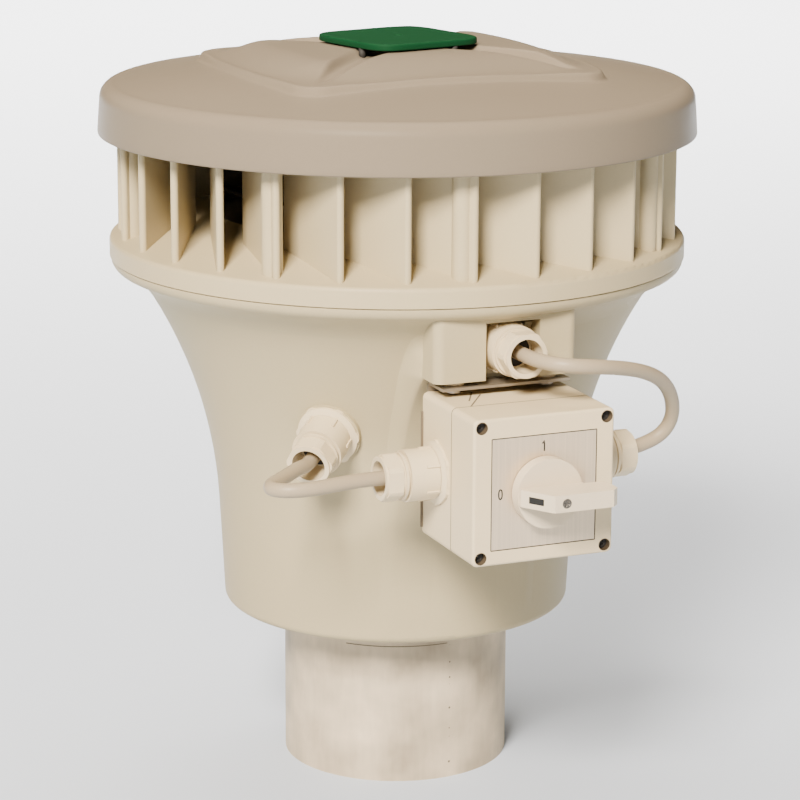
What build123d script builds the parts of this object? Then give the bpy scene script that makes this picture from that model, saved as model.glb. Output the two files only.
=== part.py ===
from build123d import *
import os
from math import atan2, cos, pi, radians, sin, tan

# Roof pipe fan: a duct pipe in an insulated bell casing, a ring of swept vanes under a hood, an
# impeller on an external rotor motor, and a safety switch on a sheet bracket at the front.
# Millimetres. +Z is up along the duct, the origin is the centre of the pipe's lower mouth, and
# the switch faces -Y.

# Fits
seat_gap = 0.3        # between pieces set side by side
running_gap = 0.03    # radial, between a shaft and what it turns in
hole_gap = 0.3        # radial, round a screw's shank

# Duct pipe
pipe_bore = 125.0
pipe_wall = 1.0
spigot_length = 92.0  # bare pipe below the casing

# Bell casing: each growth adds to the radius below it, each height to the level below it
foot_radius = 97.3
foot_round = 4.0
waist_growth = 3.0
waist_height = 58.0
flare_growth = 36.7
flare_height = 120.0
lip_growth = 17.5
lip_height = 14.0
rim_growth = 4.0
rim_land = 1.4
seam_groove = 0.7     # shadow line under the vane ring
casing_wall = 3.0
casing_floor = 3.0
foam_top_drop = 4.0   # top of the insulation below the flare's upper end

# Terminal block on the casing's front
block_width = 80.0
block_inset = 5.5     # its face behind the lip's radius
block_drop = 20.0     # its underside below the flare's upper end
block_round = 5.0
recess_width = 30.4
recess_shift = 3.1    # recess centre to the right of the block's centre
recess_depth = 15.0
recess_top_rise = 10.0

# Vane ring
ring_overhang = 0.75
flange_height = 10.3
flange_round = 2.5
ring_wall = 3.0
ring_skirt = 4.0
floor_slope = 15.0
floor_inner_radius = 104.0
floor_land = 8.0      # flat land under the floor's inner edge
vane_count = 28
vane_first = -136.2   # plan angle of the first pillar's vane, from +X
vane_inset = 4.75     # vane tips inside the flange's edge
vane_thickness = 4.0
vane_chord = 56.0
vane_sweep = 43.5
vane_top_rise = 78.0  # vane tops above the seam
pillar_diameter = 11.0
pillar_along = 7.0
pillar_vanes = (0, 3, 7, 10, 14, 17, 21, 24)
outlet_height = 67.7  # hood's lower rim above the seam

# Inlet nozzle and impeller
nozzle_sheet = 1.5
nozzle_lip_height = 12.0
nozzle_bend = 6.0
throat_clearance = 4.5
eye_gap = 1.8
impeller_radius = 100.0
impeller_sheet = 2.0
shroud_rise = 12.0
impeller_height = 35.0
blade_count = 7
blade_lean = 38.0
nozzle_overlap = 4.5

# Motor, hung under the motor plate
plate_sheet = 2.0
plate_inset = 2.0     # motor plate inside the flange's edge
rotor_radius = 44.0
rotor_wall = 3.0
rotor_gap = 0.6       # air gap between stator and rotor
rotor_collar = 10.0
stator_overhang = 6.0  # stator flange outside the rotor
stator_flange = 8.0
stator_height = 34.0
shaft_radius = 5.0
bearing_radius = 13.0
bearing_height = 9.0

# Hood
hood_overhang = 5.45
hood_wall = 3.0
hood_draft = 1.4
hood_side = 18.8
shoulder_run = 7.3
shoulder_rise = 8.1
dome_rise = 13.4
pad_side = 173.0
pad_corner = 12.0
pad_edge_rise = 10.2  # pad's edge above the shoulder
pad_bevel = 4.5
pad_rise = 9.7
pad_plateau = 118.0
channel_width = 20.0
channel_start = 24.0
channel_lift = 0.5    # channel floors above the pad's edge at its corners
channel_climb = 5.0   # rise of the channel floors towards the middle
post_radius = 7.0
post_circle = 110.0

# Top plate
top_plate_diagonal = 45.5
top_plate_bulge = 3.0
top_plate_corner = 7.0
top_plate_thickness = 3.7
top_plate_gap = 1.0   # above the pad's middle
top_plate_turn = 12.5
top_plate_foot = 3.0
top_plate_foot_circle = 36.0
top_plate_foot_turn = -8.5

# Switch box and bracket
bracket_sheet = 1.5
bracket_gap = 2.5     # spacers between terminal block and bracket
bracket_bend = 2.0
bracket_screw_inset = 14.0
spacer_rim = 1.5      # spacers outside the screw heads
box_width = 78.0
box_height = 76.5
box_depth = 64.8
cover_depth = 27.5
box_drop = 7.8        # box top below the terminal block's underside
box_behind_block = 18.8
box_wall = 2.5
box_round = 3.0
box_seal = 0.5
box_seal_inset = 1.0
cover_screw_inset = 4.4
cover_screw_recess = 3.0
cover_screw_depth = 5.0
face_plate_side = 58.0
face_plate_sheet = 0.7
face_plate_recess = 0.8
knob_drop = 1.3       # knob axis below the box's middle
knob_radius = 18.0
knob_disc = 7.0
knob_gap = 0.5
knob_reach = 27.0     # front of the handle before the box
handle_thickness = 8.8
handle_tail = 29.5
handle_nose = 6.5
handle_rise = 10.0
mark_width = 3.2
mark_length = 7.0
mark_depth = 0.6
spindle_radius = 4.0
contact_side = 42.0
contact_depth = 38.0

# Cable glands
gland_thread_radius = 10.0
gland_flange_radius = 16.5
gland_flange = 3.0
gland_hex = 1.5       # hexagon at the flange's foot
gland_neck_radius = 10.5
nut_radius = 13.5
nut_length = 15.6
nut_groove = 1.3
nut_groove_depth = 2.3
nut_ring_radius = 12.6
mouth_radius = 11.4   # over the flats of its hexagon
mouth_length = 9.2
mouth_bore = 9.0
gland_ribs = 6
rib_length = 7.0
rib_width = 1.4
rib_proud = 0.8
lock_nut_radius = 13.0
lock_nut = 5.0
gland_boss = 1.6      # casing gland's seat proud of the casing
casing_gland_angle = -131.0
casing_gland_drop = 57.5
casing_gland_grip = 6.0
cable_diameter = 7.6

# Screws
screw_radius = 2.0
screw_head_radius = 4.0
screw_head = 2.6

os.makedirs("parts", exist_ok=True)


def set_in(edge, along, gap):
    """point of an outline, moved by gap to the left of its run"""
    run = edge % along
    return edge @ along + gap * Vector(-run.Y, run.X)


def redraw(edges, gap):
    """draw joined lines and arcs again, set in by gap"""
    for edge in edges:
        start, end = set_in(edge, 0, gap), set_in(edge, 1, gap)
        if edge.geom_type == GeomType.LINE:
            Line(start, end)
        else:
            TangentArc(start, end, tangent=edge % 0)


def vane_point(angle, along):
    """plan point on a vane's centre line, measured inwards from the middle of its rounded tip"""
    heading = radians(angle + 180 + vane_sweep)
    spoke = radians(angle)
    return (
        vane_tip_radius * cos(spoke) + along * cos(heading),
        vane_tip_radius * sin(spoke) + along * sin(heading),
    )


def axial(seat):
    """plane through a seat's axis: x runs outwards from the axis and y along it"""
    return Plane(origin=seat.origin, x_dir=seat.x_dir, z_dir=seat.x_dir.cross(seat.z_dir))


# Levels and radii of the casing
pipe_radius = pipe_bore / 2 + pipe_wall
casing_bottom = spigot_length
waist_radius = foot_radius + waist_growth
waist_z = casing_bottom + waist_height
flare_radius = waist_radius + flare_growth
flare_z = waist_z + flare_height
lip_radius = flare_radius + lip_growth
lip_z = flare_z + lip_height
rim_radius = lip_radius + rim_growth

waist_line = Line((foot_radius, casing_bottom), (waist_radius, waist_z))
flare_arc = TangentArc(waist_line @ 1, (flare_radius, flare_z), tangent=waist_line % 1)
lip_arc = TangentArc(flare_arc @ 1, (lip_radius, lip_z), tangent=flare_arc % 1)
lip_angle = atan2((lip_arc % 1).Y, (lip_arc % 1).X)
rim_z = lip_z + rim_growth * tan((lip_angle + pi / 2) / 2)
rim_arc = TangentArc(lip_arc @ 1, (rim_radius, rim_z), tangent=lip_arc % 1)
bell_outline = (waist_line, flare_arc, lip_arc, rim_arc)
seam_z = rim_z + rim_land

# Levels and radii of the vane ring and what it carries
ring_radius = rim_radius + ring_overhang
ring_edge_z = seam_z + flange_height
vane_outer_radius = ring_radius - vane_inset
vane_tip_radius = vane_outer_radius - vane_thickness / 2
vane_pitch = 360 / vane_count
plate_z = seam_z + vane_top_rise
plate_top = plate_z + plate_sheet
slope = tan(radians(floor_slope))
pillar_radius = pillar_diameter / 2
pillar_points = [vane_point(vane_first + k * vane_pitch, pillar_along) for k in pillar_vanes]
land_radius = floor_inner_radius + floor_land


def floor_z(radius):
    """height of the vane ring's floor at a radius: a cone that sheds water outwards"""
    return ring_edge_z + (ring_radius - radius) * slope


land_z = floor_z(land_radius) - ring_wall
pipe_top = land_z - nozzle_sheet

# Terminal block and glands
block_face = lip_radius - block_inset
block_bottom = flare_z - block_drop
block_top = lip_z + casing_wall / 2
recess_back = block_face - recess_depth
recess_top = flare_z + recess_top_rise
motor_gland_z = (block_bottom + recess_top) / 2

# Switch box
bracket_top = block_bottom - bracket_gap
box_top = block_bottom - box_drop
box_z = box_top - box_height / 2
box_back = block_face - box_behind_block
box_front = box_back + box_depth
base_front = box_front - cover_depth - box_seal
knob_z = box_z - knob_drop
box_gland_n = (box_back + base_front) / 2

# Seats of the glands: origin on the wall's outer face, z out of it
casing_gland_z = flare_z - casing_gland_drop
gland_above = casing_gland_z - flare_arc.arc_center.Y
casing_gland_radius = flare_arc.arc_center.X - (flare_arc.radius**2 - gland_above**2) ** 0.5
gland_turn = radians(casing_gland_angle)
gland_out = (flare_arc.arc_center.X - casing_gland_radius) / flare_arc.radius
gland_normal = Vector(
    gland_out * cos(gland_turn), gland_out * sin(gland_turn), -gland_above / flare_arc.radius
)
gland_foot = Vector(
    casing_gland_radius * cos(gland_turn), casing_gland_radius * sin(gland_turn), casing_gland_z
)
casing_seat = Plane(
    origin=gland_foot + gland_boss * gland_normal,
    x_dir=(-sin(gland_turn), cos(gland_turn), 0),
    z_dir=gland_normal,
)
motor_seat = Plane(
    origin=(recess_shift, -recess_back, motor_gland_z), x_dir=(1, 0, 0), z_dir=(0, -1, 0)
)
left_seat = Plane(
    origin=(-box_width / 2, -box_gland_n, box_z), x_dir=(0, 0, 1), z_dir=(-1, 0, 0)
)
right_seat = Plane(
    origin=(box_width / 2, -box_gland_n, box_z), x_dir=(0, 0, 1), z_dir=(1, 0, 0)
)
casing_glands = ((casing_seat, casing_gland_grip), (motor_seat, casing_wall))
gland_places = {
    "casing_gland": (casing_seat, casing_gland_grip),
    "motor_gland": (motor_seat, casing_wall),
    "left_switch_gland": (left_seat, box_wall),
    "right_switch_gland": (right_seat, box_wall),
}
bracket_screw_x = block_width / 2 - bracket_screw_inset
bracket_screw_n = box_back + (block_face - box_back) / 2

# Duct pipe: thin tube from the spigot's mouth up to the inlet nozzle
with BuildPart() as duct_pipe:
    with BuildSketch():
        Circle(pipe_radius)
        Circle(pipe_bore / 2, mode=Mode.SUBTRACT)
    extrude(amount=pipe_top)
duct_pipe.part.label = "duct_pipe"
export_step(duct_pipe.part, "parts/duct_pipe.step")

# Hollow of the casing: the bell and the block set in by the wall, less what stands in them
with BuildPart() as casing_hollow:
    with BuildSketch(Plane.XZ):
        with BuildLine():
            redraw(bell_outline, casing_wall)
            Polyline(
                set_in(rim_arc, 1, casing_wall),
                (rim_radius - casing_wall, seam_z),
                (0, seam_z),
                (0, casing_bottom),
                set_in(waist_line, 0, casing_wall),
            )
        make_face()
    revolve(axis=Axis.Z)
    with BuildSketch(Plane.XY.offset(block_bottom + casing_wall)):
        with Locations((0, -block_face + casing_wall)):
            Rectangle(
                block_width - 2 * casing_wall,
                block_face - casing_wall - foot_radius,
                align=(Align.CENTER, Align.MIN),
            )
    extrude(amount=flare_z + casing_wall - block_bottom)
    with BuildSketch(Plane.XY.offset(block_bottom)):
        with Locations((recess_shift, -recess_back + casing_wall)):
            Rectangle(
                recess_width + 2 * casing_wall,
                recess_depth + casing_wall,
                align=(Align.CENTER, Align.MAX),
            )
    extrude(amount=recess_top + casing_wall - block_bottom, mode=Mode.SUBTRACT)
    with BuildSketch(Plane.XY.offset(casing_bottom)):
        Circle(foot_radius + waist_growth)
    extrude(amount=casing_floor, mode=Mode.SUBTRACT)
    with BuildSketch(Plane.XY.offset(seam_z)):
        with Locations(*pillar_points):
            Circle(pillar_radius)
    extrude(amount=-(seam_z - flare_z), mode=Mode.SUBTRACT)
    with BuildSketch(Plane.XY.offset(block_bottom)):
        with Locations((bracket_screw_x, -bracket_screw_n), (-bracket_screw_x, -bracket_screw_n)):
            Circle(screw_head_radius)
    extrude(amount=block_drop, mode=Mode.SUBTRACT)
    with BuildSketch(casing_seat):
        Circle(gland_flange_radius)
    extrude(amount=-casing_gland_grip, mode=Mode.SUBTRACT)

# Bell casing: moulded shell with the terminal block and the casing gland's seat
with BuildPart() as bell_casing:
    with BuildSketch(Plane.XZ):
        with BuildLine():
            redraw(bell_outline, 0)
            Polyline(
                rim_arc @ 1,
                (rim_radius, seam_z),
                (0, seam_z),
                (0, casing_bottom),
                waist_line @ 0,
            )
        make_face()
    revolve(axis=Axis.Z)
    fillet(bell_casing.edges().group_by(Axis.Z)[0], foot_round)
    with BuildSketch(Plane.XY.offset(block_bottom)):
        with Locations((0, -block_face)):
            Rectangle(block_width, block_face - foot_radius, align=(Align.CENTER, Align.MIN))
        fillet(vertices().group_by(Axis.Y)[0], block_round)
    extrude(amount=block_top - block_bottom)
    with BuildSketch(casing_seat):
        Circle(gland_flange_radius + 1)
    extrude(amount=-casing_gland_grip)
    with BuildSketch(Plane.XY.offset(block_bottom)):
        with Locations((recess_shift, -recess_back)):
            Rectangle(recess_width, recess_depth + block_round, align=(Align.CENTER, Align.MAX))
    extrude(amount=recess_top - block_bottom, mode=Mode.SUBTRACT)
    add(casing_hollow.part, mode=Mode.SUBTRACT)
    with BuildSketch(Plane.XY.offset(casing_bottom)):
        Circle(pipe_radius + seat_gap)
    extrude(amount=casing_floor, mode=Mode.SUBTRACT)
    for seat, grip in casing_glands:
        with BuildSketch(seat):
            Circle(gland_thread_radius + seat_gap)
        extrude(amount=-grip, mode=Mode.SUBTRACT)
    with BuildSketch(Plane.XY.offset(seam_z)):
        with Locations(*pillar_points):
            Circle(screw_radius + seat_gap)
    extrude(amount=-(seam_z - lip_z) + casing_wall / 2, mode=Mode.SUBTRACT)
    with BuildSketch(Plane.XY.offset(block_bottom)):
        with Locations((bracket_screw_x, -bracket_screw_n), (-bracket_screw_x, -bracket_screw_n)):
            Circle(screw_radius + seat_gap)
    extrude(amount=block_drop - casing_wall, mode=Mode.SUBTRACT)
    with BuildSketch(Plane.XY.offset(seam_z)):
        Circle(rim_radius)
        Circle(rim_radius - seam_groove, mode=Mode.SUBTRACT)
    extrude(amount=-seam_groove, mode=Mode.SUBTRACT)
bell_casing.part.label = "bell_casing"
export_step(bell_casing.part, "parts/bell_casing.step")

# Insulation: foam between pipe and casing, cut out behind the glands and the block's recess
foam_top = flare_z - foam_top_drop
foam_set_in = casing_wall + seat_gap
with BuildPart() as insulation:
    with BuildSketch(Plane.XZ):
        with BuildLine():
            redraw((waist_line, flare_arc), foam_set_in)
            Polyline(
                set_in(flare_arc, 1, foam_set_in),
                (pipe_radius + seat_gap, set_in(flare_arc, 1, foam_set_in).Y),
                (pipe_radius + seat_gap, casing_bottom),
                set_in(waist_line, 0, foam_set_in),
            )
        make_face()
    revolve(axis=Axis.Z)
    with BuildSketch(Plane.XY.offset(casing_bottom)):
        Circle(waist_radius)
    extrude(amount=casing_floor + seat_gap, mode=Mode.SUBTRACT)
    with BuildSketch(Plane.XY.offset(foam_top)):
        Circle(lip_radius)
    extrude(amount=foam_top_drop + casing_wall, mode=Mode.SUBTRACT)
    with BuildSketch(Plane.XY.offset(block_bottom)):
        with Locations((recess_shift, -recess_back + casing_wall + seat_gap)):
            Rectangle(
                recess_width + 2 * foam_set_in,
                recess_depth + casing_wall,
                align=(Align.CENTER, Align.MAX),
            )
    extrude(amount=block_drop + casing_wall, mode=Mode.SUBTRACT)
    for seat, grip in casing_glands:
        with BuildSketch(seat):
            Circle(gland_flange_radius + seat_gap)
        extrude(amount=-(grip + lock_nut + 3 * casing_wall), mode=Mode.SUBTRACT)
insulation.part.label = "insulation"
export_step(insulation.part, "parts/insulation.step")

# Vane ring: flange, floor cone, swept vanes and screw pillars in one moulding
with BuildPart() as vane_ring:
    with BuildSketch(Plane.XY.offset(seam_z)):
        for k in range(vane_count):
            angle = vane_first + k * vane_pitch
            with Locations(vane_point(angle, vane_chord / 2 - vane_thickness / 2)):
                SlotOverall(vane_chord, vane_thickness, rotation=angle + vane_sweep)
        with Locations(*pillar_points):
            Circle(pillar_radius)
    extrude(amount=vane_top_rise)
    with BuildSketch(Plane.XZ):
        with BuildLine():
            Polyline(
                (0, seam_z),
                (ring_radius, seam_z),
                (ring_radius, ring_edge_z - ring_wall / 2),
                (0, floor_z(0) - ring_wall / 2),
                close=True,
            )
        make_face()
    revolve(axis=Axis.Z, mode=Mode.SUBTRACT)
    with BuildSketch(Plane.XZ):
        with BuildLine():
            Polyline(
                (ring_radius, seam_z),
                (ring_radius, ring_edge_z),
                (floor_inner_radius, floor_z(floor_inner_radius)),
                (floor_inner_radius, land_z),
                (land_radius, land_z),
                (ring_radius - ring_skirt, floor_z(ring_radius - ring_skirt) - ring_wall),
                (ring_radius - ring_skirt, seam_z),
                close=True,
            )
        make_face()
        fillet(vertices().sort_by(Axis.X)[-2:].sort_by(Axis.Y)[-1], flange_round)
    revolve(axis=Axis.Z)
    with BuildSketch(Plane.XY.offset(plate_z)):
        with Locations(*pillar_points):
            Circle(screw_radius + hole_gap)
    extrude(amount=-vane_top_rise, mode=Mode.SUBTRACT)
    with BuildSketch(Plane.XY.offset(land_z)):
        with PolarLocations(land_radius - floor_land / 2, 6):
            Circle(screw_radius + seat_gap)
    extrude(amount=ring_wall, mode=Mode.SUBTRACT)
vane_ring.part.label = "vane_ring"
export_step(vane_ring.part, "parts/vane_ring.step")

# Inlet nozzle: pressed ring under the floor's land, turned up into the impeller's eye
throat_radius = pipe_bore / 2 - throat_clearance
with BuildPart() as inlet_nozzle:
    with BuildSketch(Plane.XZ):
        with BuildLine():
            FilletPolyline(
                (land_radius, land_z - nozzle_sheet / 2),
                (throat_radius, land_z - nozzle_sheet / 2),
                (throat_radius, land_z + nozzle_lip_height),
                radius=nozzle_bend,
            )
        trace(line_width=nozzle_sheet)
    revolve(axis=Axis.Z)
    with BuildSketch(Plane.XY.offset(land_z)):
        with PolarLocations(land_radius - floor_land / 2, 6):
            Circle(screw_radius + hole_gap)
    extrude(amount=-nozzle_sheet, mode=Mode.SUBTRACT)
inlet_nozzle.part.label = "inlet_nozzle"
export_step(inlet_nozzle.part, "parts/inlet_nozzle.step")

# Motor plate: flat disc on the vanes and pillars
plate_radius = ring_radius - plate_inset
stator_flange_radius = rotor_radius + stator_overhang
stator_screw_circle = rotor_radius
with BuildPart() as motor_plate:
    with BuildSketch(Plane.XY.offset(plate_z)):
        Circle(plate_radius)
        with Locations(*pillar_points):
            Circle(screw_radius + hole_gap, mode=Mode.SUBTRACT)
        with PolarLocations(stator_screw_circle, 4):
            Circle(screw_radius + hole_gap, mode=Mode.SUBTRACT)
        with PolarLocations(post_circle, 4, start_angle=45):
            Circle(screw_radius + hole_gap, mode=Mode.SUBTRACT)
    extrude(amount=plate_sheet)
motor_plate.part.label = "motor_plate"
export_step(motor_plate.part, "parts/motor_plate.step")

# Stator: flange under the plate, core inside the rotor, bore for two bearings and the shaft
stator_bottom = plate_z - stator_flange - stator_height
rotor_inner = rotor_radius - rotor_wall
with BuildPart() as motor_stator:
    with BuildSketch(Plane.XY.offset(plate_z)):
        Circle(stator_flange_radius)
    extrude(amount=-stator_flange)
    with BuildSketch(Plane.XY.offset(stator_bottom)):
        Circle(rotor_inner - rotor_gap)
    extrude(amount=stator_height)
    with BuildSketch(Plane.XY.offset(stator_bottom)):
        Circle(bearing_radius)
    extrude(amount=bearing_height, mode=Mode.SUBTRACT)
    with BuildSketch(Plane.XY.offset(plate_z - stator_flange / 2)):
        Circle(bearing_radius)
    extrude(amount=-bearing_height, mode=Mode.SUBTRACT)
    with BuildSketch(Plane.XY.offset(stator_bottom)):
        Circle(shaft_radius + 2 * hole_gap)
    extrude(amount=stator_height + stator_flange, mode=Mode.SUBTRACT)
    with BuildSketch(Plane.XY.offset(plate_z)):
        with PolarLocations(stator_screw_circle, 4):
            Circle(screw_radius + hole_gap)
    extrude(amount=-stator_flange, mode=Mode.SUBTRACT)
motor_stator.part.label = "motor_stator"
export_step(motor_stator.part, "parts/motor_stator.step")

for bearing_name, bearing_z in (
    ("lower_bearing", stator_bottom),
    ("upper_bearing", plate_z - stator_flange / 2 - bearing_height),
):
    with BuildPart() as bearing:
        with BuildSketch(Plane.XY.offset(bearing_z)):
            Circle(bearing_radius)
            Circle(shaft_radius + running_gap, mode=Mode.SUBTRACT)
        extrude(amount=bearing_height)
    bearing.part.label = bearing_name
    export_step(bearing.part, f"parts/{bearing_name}.step")

# Rotor: can round the stator, closed below, with a collar for the impeller
rotor_bottom = stator_bottom - 2 * rotor_gap - rotor_wall
rotor_top = plate_z - stator_flange - 2 * rotor_gap
impeller_back_z = land_z + nozzle_lip_height - nozzle_overlap + impeller_height
collar_radius = rotor_radius + rotor_collar
with BuildPart() as motor_rotor:
    with BuildSketch(Plane.XY.offset(rotor_bottom)):
        Circle(rotor_radius)
    extrude(amount=rotor_top - rotor_bottom)
    with BuildSketch(Plane.XY.offset(impeller_back_z)):
        Circle(collar_radius)
    extrude(amount=-rotor_wall)
    with BuildSketch(Plane.XY.offset(rotor_bottom + rotor_wall)):
        Circle(rotor_inner)
    extrude(amount=rotor_top - rotor_bottom, mode=Mode.SUBTRACT)
    with BuildSketch(Plane.XY.offset(rotor_bottom)):
        Circle(shaft_radius)
    extrude(amount=rotor_wall, mode=Mode.SUBTRACT)
    with BuildSketch(Plane.XY.offset(impeller_back_z)):
        with PolarLocations(rotor_radius + rotor_collar / 2, 6):
            Circle(screw_radius + hole_gap)
    extrude(amount=-rotor_wall, mode=Mode.SUBTRACT)
motor_rotor.part.label = "motor_rotor"
export_step(motor_rotor.part, "parts/motor_rotor.step")

with BuildPart() as motor_shaft:
    with BuildSketch(Plane.XY.offset(rotor_bottom)):
        Circle(shaft_radius)
    extrude(amount=plate_z - plate_sheet - rotor_bottom)
motor_shaft.part.label = "motor_shaft"
export_step(motor_shaft.part, "parts/motor_shaft.step")

# Impeller: curved shroud with the eye, backward-curved blades and a back plate on the collar
eye_radius = throat_radius + nozzle_sheet / 2 + eye_gap
shroud_z = impeller_back_z - impeller_height
shroud_bend = shroud_rise - impeller_sheet
shroud_line_radius = eye_radius + impeller_sheet / 2
blade_lead = radians(90 - blade_lean)
with BuildPart() as blade_space:
    with BuildSketch(Plane.XZ):
        with BuildLine():
            bend = TangentArc(
                (shroud_line_radius, shroud_z + impeller_sheet),
                (shroud_line_radius + shroud_bend, shroud_z + shroud_rise),
                tangent=(0, 1),
            )
            Polyline(
                bend @ 1,
                (impeller_radius, shroud_z + shroud_rise),
                (impeller_radius, impeller_back_z + impeller_sheet / 2),
                (shroud_line_radius, impeller_back_z + impeller_sheet / 2),
                bend @ 0,
            )
        make_face()
    revolve(axis=Axis.Z)
with BuildPart() as impeller:
    for k in range(blade_count):
        turn = k * 2 * pi / blade_count
        with BuildSketch(Plane.XY.offset(shroud_z)):
            with BuildLine():
                JernArc(
                    start=(eye_radius * cos(turn), eye_radius * sin(turn)),
                    tangent=(cos(turn - blade_lead), sin(turn - blade_lead)),
                    radius=impeller_radius,
                    arc_size=-blade_lean * 1.2,
                )
            trace(line_width=impeller_sheet)
        extrude(amount=impeller_height + impeller_sheet / 2)
    add(blade_space.part, mode=Mode.INTERSECT)
    with BuildSketch(Plane.XZ):
        with BuildLine():
            Line((shroud_line_radius, shroud_z), (shroud_line_radius, shroud_z + impeller_sheet))
            bend = TangentArc(
                (shroud_line_radius, shroud_z + impeller_sheet),
                (shroud_line_radius + shroud_bend, shroud_z + shroud_rise),
                tangent=(0, 1),
            )
            Line(bend @ 1, (impeller_radius, shroud_z + shroud_rise))
        trace(line_width=impeller_sheet)
    revolve(axis=Axis.Z)
    with BuildSketch(Plane.XY.offset(impeller_back_z)):
        Circle(impeller_radius)
        Circle(rotor_radius + seat_gap, mode=Mode.SUBTRACT)
        with PolarLocations(rotor_radius + rotor_collar / 2, 6):
            Circle(screw_radius + hole_gap, mode=Mode.SUBTRACT)
    extrude(amount=impeller_sheet)
impeller.part.label = "impeller"
export_step(impeller.part, "parts/impeller.step")

# Hood: drafted side, rounded shoulder and shallow dome, with the raised pad and four posts
hood_radius = ring_radius + hood_overhang
hood_bottom = seam_z + outlet_height
hood_line = Line(
    (hood_radius, hood_bottom), (hood_radius - hood_draft, hood_bottom + hood_side)
)
shoulder_radius = hood_radius - hood_draft - shoulder_run
shoulder_z = hood_bottom + hood_side + shoulder_rise
shoulder_arc = TangentArc(hood_line @ 1, (shoulder_radius, shoulder_z), tangent=hood_line % 1)
dome_z = shoulder_z + dome_rise
dome_inner_z = dome_z - 1.6 * hood_wall
pad_edge_z = shoulder_z + pad_edge_rise
pad_top_z = pad_edge_z + pad_rise
channel_end = pad_side / 2**0.5


def channel_floor(radius):
    """height of a channel's floor, which falls outwards from the pad's middle to its corner"""
    share = (channel_end - radius) / (channel_end - channel_start)
    return pad_edge_z + channel_lift + channel_climb * share


post_top_z = shoulder_z + dome_rise * (1 - (post_circle / shoulder_radius) ** 2) - hood_wall / 2
with BuildPart() as hood:
    with BuildSketch(Plane.XZ):
        with BuildLine():
            redraw((hood_line, shoulder_arc), 0)
            TangentArc(shoulder_arc @ 1, (0, dome_z), tangent=shoulder_arc % 1)
            Polyline((0, dome_z), (0, hood_bottom), hood_line @ 0)
        make_face()
    revolve(axis=Axis.Z)
    with BuildSketch(Plane.XY.offset(pad_edge_z - pad_bevel)):
        RectangleRounded(pad_side + pad_bevel, pad_side + pad_bevel, pad_corner + pad_bevel / 2)
    with BuildSketch(Plane.XY.offset(pad_edge_z)):
        RectangleRounded(pad_side, pad_side, pad_corner)
    loft(ruled=True)
    with BuildSketch(Plane.XY.offset(pad_edge_z)):
        RectangleRounded(pad_side, pad_side, pad_corner)
    with BuildSketch(Plane.XY.offset(pad_top_z)):
        RectangleRounded(pad_plateau, pad_plateau, pad_corner)
    loft(ruled=True)
    with BuildSketch(Plane.XZ):
        with BuildLine():
            redraw((hood_line, shoulder_arc), hood_wall)
            TangentArc(
                set_in(shoulder_arc, 1, hood_wall), (0, dome_inner_z), tangent=shoulder_arc % 1
            )
            Polyline(
                (0, dome_inner_z),
                (0, set_in(hood_line, 0, hood_wall).Y),
                set_in(hood_line, 0, hood_wall),
            )
        make_face()
    revolve(axis=Axis.Z, mode=Mode.SUBTRACT)
    with BuildSketch(Plane.XY.offset(plate_top)):
        with PolarLocations(post_circle, 4, start_angle=45):
            Circle(post_radius)
    extrude(amount=post_top_z - plate_top)
    with BuildSketch(Plane.XY.offset(plate_top)):
        with PolarLocations(post_circle, 4, start_angle=45):
            Circle(screw_radius + seat_gap)
    extrude(amount=post_radius * 1.6, mode=Mode.SUBTRACT)
    for turn in (45, 135, 225, 315):
        along = Vector(cos(radians(turn)), sin(radians(turn)), 0)
        with BuildSketch(Plane(origin=(0, 0, 0), x_dir=along, z_dir=along.cross(Vector(0, 0, 1)))):
            with BuildLine():
                Polyline(
                    (channel_start, channel_floor(channel_start)),
                    (channel_end, channel_floor(channel_end)),
                    (channel_end, pad_top_z + pad_rise),
                    (channel_start, pad_top_z + pad_rise),
                    close=True,
                )
            make_face()
        extrude(amount=channel_width / 2, both=True, mode=Mode.SUBTRACT)
hood.part.label = "hood"
export_step(hood.part, "parts/hood.step")

# Top plate: bulged square over the pad, on feet that stand in the channels
top_plate_z = pad_top_z + top_plate_gap
plate_flat = top_plate_diagonal / 2**0.5
foot_z = channel_floor((top_plate_foot_circle - top_plate_foot) * cos(radians(top_plate_foot_turn)))
with BuildPart() as top_plate:
    with BuildSketch(Plane.XY.offset(top_plate_z).rotated((0, 0, top_plate_turn))):
        with BuildLine():
            for k in range(4):
                start, end = radians(45 + 90 * k), radians(135 + 90 * k)
                middle = radians(90 + 90 * k)
                ThreePointArc(
                    (top_plate_diagonal * cos(start), top_plate_diagonal * sin(start)),
                    (
                        (plate_flat + top_plate_bulge) * cos(middle),
                        (plate_flat + top_plate_bulge) * sin(middle),
                    ),
                    (top_plate_diagonal * cos(end), top_plate_diagonal * sin(end)),
                )
        make_face()
        fillet(vertices(), top_plate_corner)
    extrude(amount=top_plate_thickness)
    with BuildSketch(Plane.XY.offset(foot_z)):
        with PolarLocations(top_plate_foot_circle, 4, start_angle=45 + top_plate_foot_turn):
            Circle(top_plate_foot)
    extrude(amount=top_plate_z - foot_z)
top_plate.part.label = "top_plate"
export_step(top_plate.part, "parts/top_plate.step")

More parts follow.
